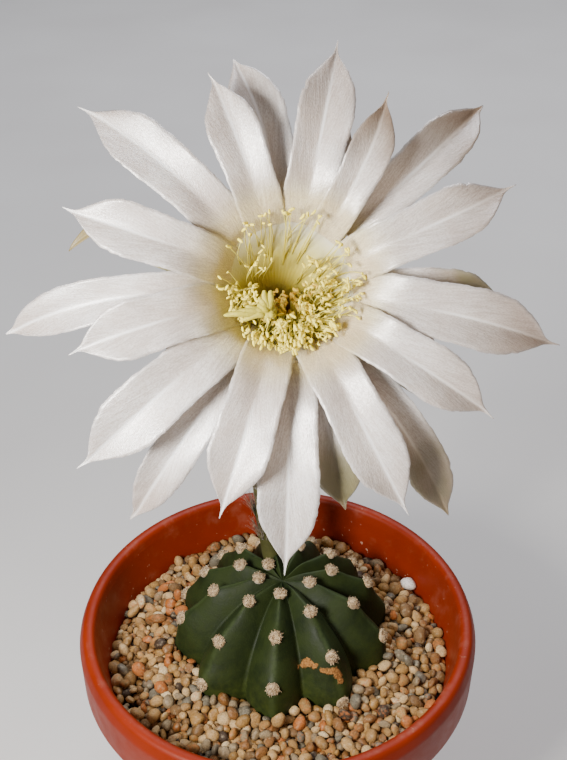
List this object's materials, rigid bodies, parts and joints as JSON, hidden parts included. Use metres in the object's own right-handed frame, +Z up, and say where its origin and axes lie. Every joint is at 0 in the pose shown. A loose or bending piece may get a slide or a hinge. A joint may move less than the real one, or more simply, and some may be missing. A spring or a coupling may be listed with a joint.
{
  "type": "potted flowering globe cactus",
  "caption": "Ribbed globe cactus in a round nursery pot topped with gravel, with one wide white trumpet flower on a long curved scaly tube.",
  "frame": {"origin": "centre of the pot's foot, on the surface it stands on", "axes": "+Z up through the pot, -Y the way the flower faces, +X to the right as seen from the flower's side"},
  "size_m": [0.1312, 0.1478, 0.2942],
  "materials": {
    "pot_plastic": "satin moulded plastic, orange-red",
    "potting_mix": "dark moist bark and peat mix",
    "gravel": "dry rounded tan gravel",
    "cactus_skin": "waxy dark green skin with off-white wool tufts",
    "flower_tube": "olive green, scaly and hairy",
    "outer_petals": "thin white petals flushed olive along the midrib",
    "inner_petals": "satin white petals",
    "stamens": "cream anthers on pale green-yellow filaments",
    "pistil": "pale green stigma and style"
  },
  "bodies": {
    "root": {"pot": "pot_plastic", "potting_mix": "potting_mix", "gravel": "gravel", "cactus_stem": "cactus_skin", "flower_tube": "flower_tube", "petals_outer": "outer_petals", "petals_inner": "inner_petals", "stamens": "stamens", "pistil": "pistil"}
  },
  "joints": []
}
